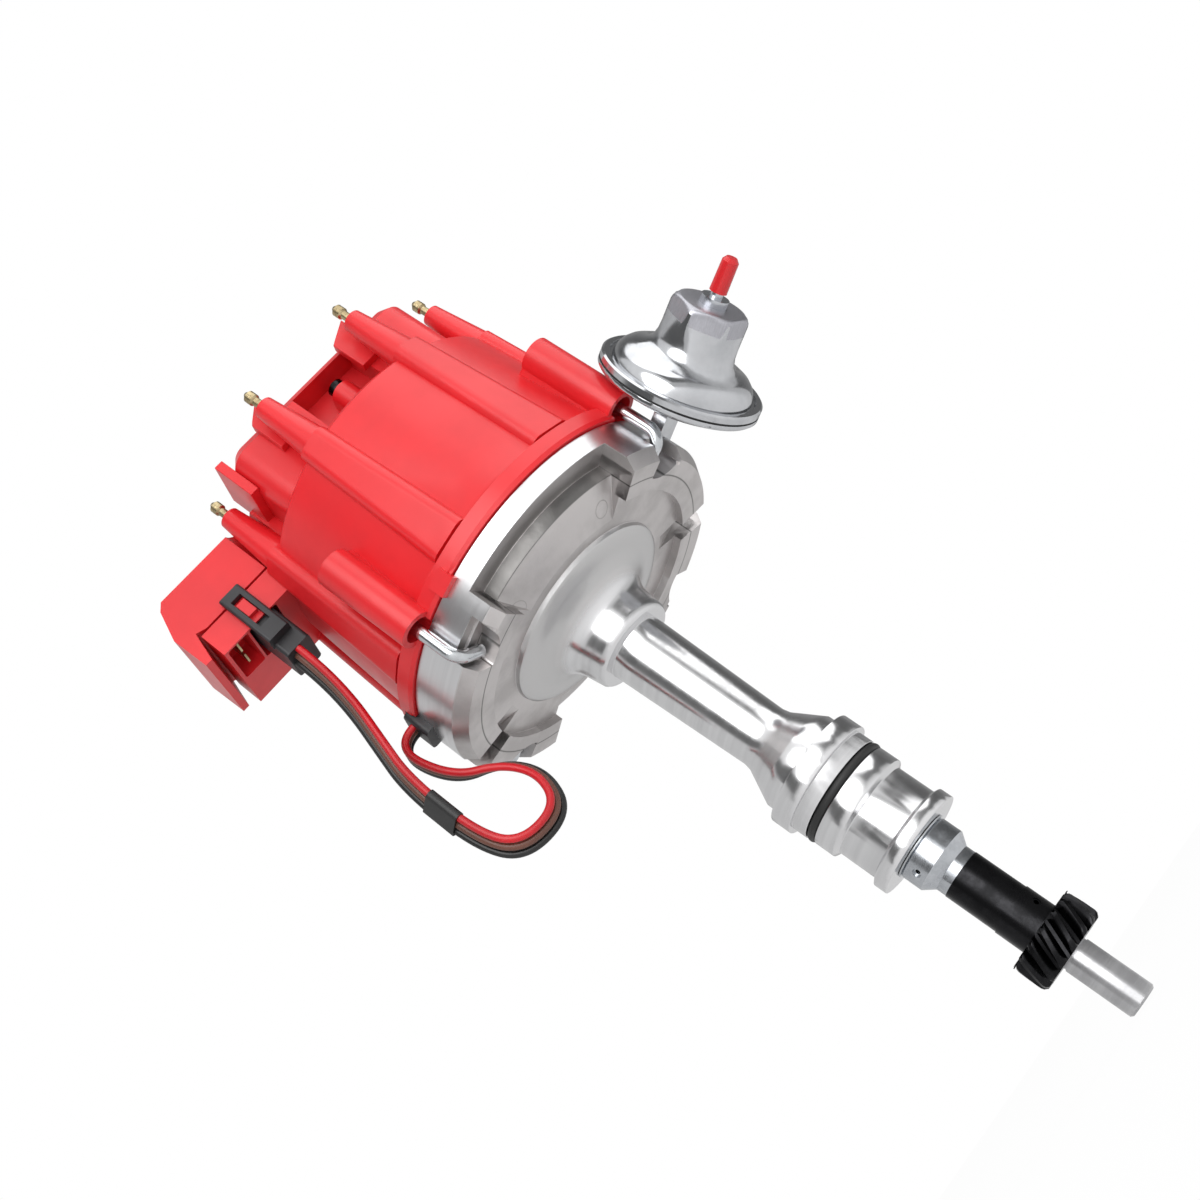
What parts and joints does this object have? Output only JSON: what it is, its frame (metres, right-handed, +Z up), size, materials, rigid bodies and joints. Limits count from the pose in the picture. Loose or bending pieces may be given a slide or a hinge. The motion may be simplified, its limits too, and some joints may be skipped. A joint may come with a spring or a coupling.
{
  "type": "ignition distributor",
  "caption": "Ignition distributor with a coil in a red cap, a vacuum advance canister at the side and a helical gear on a long shaft.",
  "frame": {"origin": "on the shaft axis, at the seat under the hold-down flange", "axes": "+Z up the shaft axis towards the cap, -Y the near side of the coil cover, the plug sockets hang over -X"},
  "size_m": [0.2165, 0.1601, 0.3679],
  "materials": {
    "red_plastic": "satin moulded",
    "black_plastic": "satin moulded",
    "grey_resin": "satin moulded",
    "cast_aluminium": "cast, machined at the stem, bands and pilot",
    "bronze": "sintered",
    "shaft_steel": "ground",
    "bright_steel": "zinc plated",
    "black_steel": "black oxide",
    "zinc_steel": "zinc plated",
    "lamination": "dull laminated",
    "winding": "taped winding",
    "brass": "dull",
    "carbon": "pressed carbon",
    "rubber": "smooth",
    "wire_red": "extruded insulation",
    "wire_brown": "extruded insulation",
    "wire_black": "extruded insulation",
    "tape": "wound tape",
    "cap_orange": "smooth"
  },
  "bodies": {
    "housing": {"housing": "cast_aluminium", "upper_bushing": "bronze", "lower_bushing": "bronze", "housing_oring": "rubber", "ignition_module": "black_plastic", "module_screws": "bright_steel", "condenser": "zinc_steel", "harness_grommet": "black_plastic", "canister_base": "zinc_steel", "canister_cover": "zinc_steel", "canister_screws": "bright_steel", "diaphragm": "rubber", "nipple": "zinc_steel", "nipple_cap": "cap_orange", "vacuum_spring": "bright_steel", "plate_retainer": "bright_steel", "cap": "red_plastic", "cap_terminals": "brass", "carbon_brush": "carbon", "brush_spring": "bright_steel", "coil_core": "lamination", "coil_winding": "winding", "coil_cover": "red_plastic", "cover_screws": "black_steel", "connector_blades": "brass", "harness_plug": "black_plastic", "wire_red": "wire_red", "wire_brown": "wire_brown", "wire_black": "wire_black", "tape_sleeve": "tape", "latch_springs": "bright_steel"},
    "shaft": {"main_shaft": "shaft_steel", "thrust_washer": "bright_steel", "shaft_collar": "zinc_steel", "collar_pin": "bright_steel", "spacer_sleeve": "black_steel", "drive_gear": "black_steel", "gear_pin": "bright_steel", "advance_cam": "shaft_steel"},
    "advance": {"timer_core": "shaft_steel", "weight_base": "zinc_steel", "rotor": "grey_resin", "rotor_blade": "brass", "rotor_screws": "bright_steel", "advance_springs": "bright_steel"},
    "weight_a": {"weight_a": "zinc_steel"},
    "weight_b": {"weight_b": "zinc_steel"},
    "pickup": {"pickup_plate": "zinc_steel", "pickup_magnet": "grey_resin", "pickup_coil": "winding", "pole_piece": "lamination", "pickup_screws": "bright_steel"},
    "vacuum": {"vacuum_rod": "bright_steel"},
    "latch_1": {"latch_1": "bright_steel"},
    "latch_2": {"latch_2": "bright_steel"},
    "latch_3": {"latch_3": "bright_steel"},
    "latch_4": {"latch_4": "bright_steel"}
  },
  "joints": [
    {"name": "shaft_spin", "type": "hinge", "parent": "housing", "child": "shaft", "pos_m": [0, 0, 0], "axis": [0, 0, 1], "continuous": true},
    {"name": "advance_turn", "type": "hinge", "parent": "shaft", "child": "advance", "pos_m": [0, 0, 0], "axis": [0, 0, 1], "range_deg": [0, 10], "stiffness_Nm_per_rad": 0.3, "springref_deg": -5.73},
    {"name": "weight_a_swing", "type": "hinge", "parent": "advance", "child": "weight_a", "pos_m": [0.00376, -0.02674, 0.1423], "axis": [0, 0, -1], "range_deg": [0, 18]},
    {"name": "weight_b_swing", "type": "hinge", "parent": "advance", "child": "weight_b", "pos_m": [-0.00376, 0.02674, 0.1423], "axis": [0, 0, -1], "range_deg": [0, 18]},
    {"name": "vacuum_pull", "type": "slide", "parent": "housing", "child": "vacuum", "axis": [0.6756, -0.7373, 0], "range_m": [0, 0.0042], "stiffness_N_per_m": 300, "springref_m": -0.01, "deforming": ["vacuum_spring"]},
    {"name": "pickup_turn", "type": "hinge", "parent": "housing", "child": "pickup", "pos_m": [0, 0, 0], "axis": [0, 0, -1], "range_deg": [0, 11]},
    {"name": "latch_1_turn", "type": "hinge", "parent": "housing", "child": "latch_1", "pos_m": [-0.05456, -0.04999, 0.14], "axis": [0, 0, -1], "range_deg": [0, 90]},
    {"name": "latch_2_turn", "type": "hinge", "parent": "housing", "child": "latch_2", "pos_m": [0.05456, -0.04999, 0.14], "axis": [0, 0, -1], "range_deg": [0, 90]},
    {"name": "latch_3_turn", "type": "hinge", "parent": "housing", "child": "latch_3", "pos_m": [0.05456, 0.04999, 0.14], "axis": [0, 0, -1], "range_deg": [0, 90]},
    {"name": "latch_4_turn", "type": "hinge", "parent": "housing", "child": "latch_4", "pos_m": [-0.05456, 0.04999, 0.14], "axis": [0, 0, -1], "range_deg": [0, 90]}
  ],
  "couplings": [
    {"joint": "weight_a_swing", "follows": "advance_turn", "ratio": 1.8},
    {"joint": "weight_b_swing", "follows": "advance_turn", "ratio": 1.8},
    {"joint": "pickup_turn", "follows": "vacuum_pull", "rad_per_m": 45.25}
  ]
}
